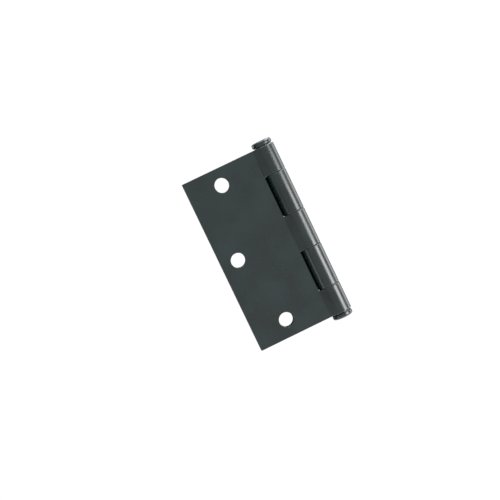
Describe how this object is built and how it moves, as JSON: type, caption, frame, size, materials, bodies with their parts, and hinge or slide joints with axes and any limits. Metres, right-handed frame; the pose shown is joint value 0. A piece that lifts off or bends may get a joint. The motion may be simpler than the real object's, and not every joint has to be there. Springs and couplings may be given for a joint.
{
  "type": "door hinge",
  "caption": "Loose-pin butt hinge with two square-corner leaves, rolled knuckles, button-head pin and pressed bottom plug, shown closed.",
  "frame": {"origin": "on the pin axis at half the leaf height", "axes": "+Z along the pin towards its head; both leaves reach towards -X when closed, with the jamb leaf on the -Y side and the door leaf on the +Y side"},
  "size_m": [0.0488, 0.0108, 0.0948],
  "materials": {
    "leaf_paint": "satin",
    "pin_paint": "satin"
  },
  "bodies": {
    "jamb_leaf": {"jamb_leaf": "leaf_paint", "bottom_plug": "pin_paint"},
    "door_leaf": {"door_leaf": "leaf_paint"},
    "hinge_pin": {"hinge_pin": "pin_paint"}
  },
  "joints": [
    {"name": "leaf_swing", "type": "hinge", "parent": "jamb_leaf", "child": "door_leaf", "pos_m": [0, 0, 0], "axis": [0, 0, -1], "range_deg": [0, 270]},
    {"name": "pin_lift", "type": "slide", "parent": "jamb_leaf", "child": "hinge_pin", "axis": [0, 0, 1], "range_m": [0, 0.085]}
  ]
}
